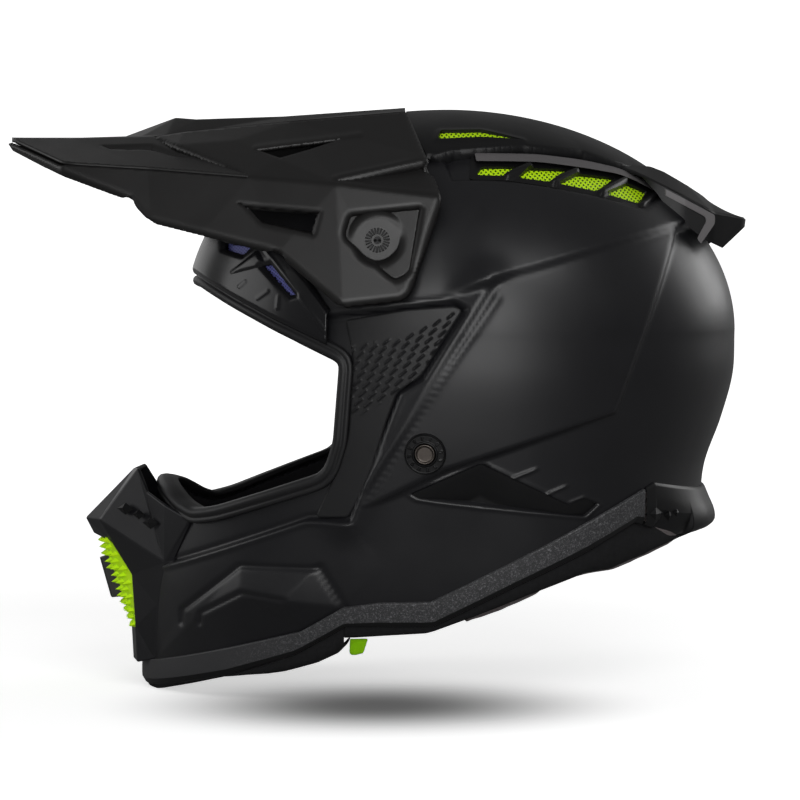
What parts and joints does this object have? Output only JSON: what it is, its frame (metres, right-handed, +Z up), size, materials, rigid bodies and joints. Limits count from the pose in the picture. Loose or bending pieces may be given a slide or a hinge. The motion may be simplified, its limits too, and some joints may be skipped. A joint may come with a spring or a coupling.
{
  "type": "motocross helmet",
  "caption": "Full-face off-road helmet with a tilting peak, open eye port, vented crown, impact and comfort liners and release-out cheek pads.",
  "frame": {"origin": "centre of the head that the helmet sits on, on the plane of symmetry, at mount head_seat", "axes": "+Z up, -Y the way the rider looks, +X the rider's left"},
  "size_m": [0.2598, 0.3825, 0.3019],
  "materials": {
    "shell_black": "matt, slightly soft-touch black lacquer",
    "peak_black": "matt black moulding",
    "hem_grey": "speckled dark grey rubber band",
    "rubber_black": "matt black rubber",
    "neon_green": "fluorescent yellow-green",
    "mesh_violet": "blue-violet mesh",
    "foam_black": "beaded polystyrene, black",
    "fabric_taupe": "brushed brown-grey lining cloth",
    "webbing_black": "woven black webbing",
    "steel": "plated steel",
    "rivet_steel": "dark domed steel",
    "plastic_ring": "matt black ring with tick marks",
    "screw_black": "black anodised aluminium",
    "insert_brass": "turned brass",
    "stripe_grey": "mid grey moulded strip"
  },
  "bodies": {
    "helmet": {"brow_mesh_left": "mesh_violet", "brow_mesh_right": "mesh_violet", "brow_vent": "shell_black", "chin_bar_liner": "fabric_taupe", "chin_strap_long": "webbing_black", "chin_strap_short": "webbing_black", "comfort_liner": "fabric_taupe", "crown_mesh_left": "neon_green", "crown_mesh_right": "neon_green", "crown_spoiler": "shell_black", "crown_vent_left": "shell_black", "crown_vent_right": "shell_black", "eye_port_gasket": "rubber_black", "hem_band": "hem_grey", "impact_liner": "foam_black", "muzzle_bar": "peak_black", "muzzle_cover": "shell_black", "muzzle_grille": "neon_green", "neck_roll": "fabric_taupe", "peak_centre_bush": "insert_brass", "peak_centre_screw": "screw_black", "peak_insert_left": "insert_brass", "peak_insert_right": "insert_brass", "peak_screw_left": "screw_black", "peak_screw_right": "screw_black", "rear_exhaust": "shell_black", "rivet_ring_left": "plastic_ring", "rivet_ring_right": "plastic_ring", "shell": "shell_black", "side_vent_left": "shell_black", "side_vent_right": "shell_black", "strap_anchor_left": "steel", "strap_anchor_right": "steel", "strap_grip_left": "rubber_black", "strap_grip_right": "rubber_black", "strap_rivet_left": "rivet_steel", "strap_rivet_right": "rivet_steel", "top_mesh_left": "neon_green", "top_mesh_right": "neon_green", "vent_stripe_left": "stripe_grey", "vent_stripe_right": "stripe_grey"},
    "peak": {"peak": "peak_black"},
    "cheek_left": {"cheek_core_left": "foam_black", "cheek_pad_left": "fabric_taupe", "pull_tab_left": "neon_green"},
    "cheek_right": {"cheek_core_right": "foam_black", "cheek_pad_right": "fabric_taupe", "pull_tab_right": "neon_green"},
    "d_ring_outer": {"d_ring_outer": "steel"},
    "d_ring_inner": {"d_ring_inner": "steel"}
  },
  "joints": [
    {"name": "peak_tilt", "type": "hinge", "parent": "helmet", "child": "peak", "pos_m": [0, -0.0428, 0.0835], "axis": [1, 0, 0], "range_deg": [0, 8]},
    {"name": "cheek_release_left", "type": "slide", "parent": "helmet", "child": "cheek_left", "axis": [-0.3714, 0, -0.9285], "range_m": [0, 0.08]},
    {"name": "cheek_release_right", "type": "slide", "parent": "helmet", "child": "cheek_right", "axis": [0.3714, 0, -0.9285], "range_m": [0, 0.08]},
    {"name": "d_ring_inner_swing", "type": "hinge", "parent": "helmet", "child": "d_ring_inner", "pos_m": [-0.09223, -0.0191, -0.0905], "axis": [0, -1, 0], "range_deg": [0, 20]},
    {"name": "d_ring_outer_swing", "type": "hinge", "parent": "helmet", "child": "d_ring_outer", "pos_m": [-0.09603, -0.0191, -0.0905], "axis": [0, -1, 0], "range_deg": [0, 20]}
  ],
  "couplings": [
    {"joint": "d_ring_outer_swing", "follows": "d_ring_inner_swing", "ratio": 1}
  ]
}
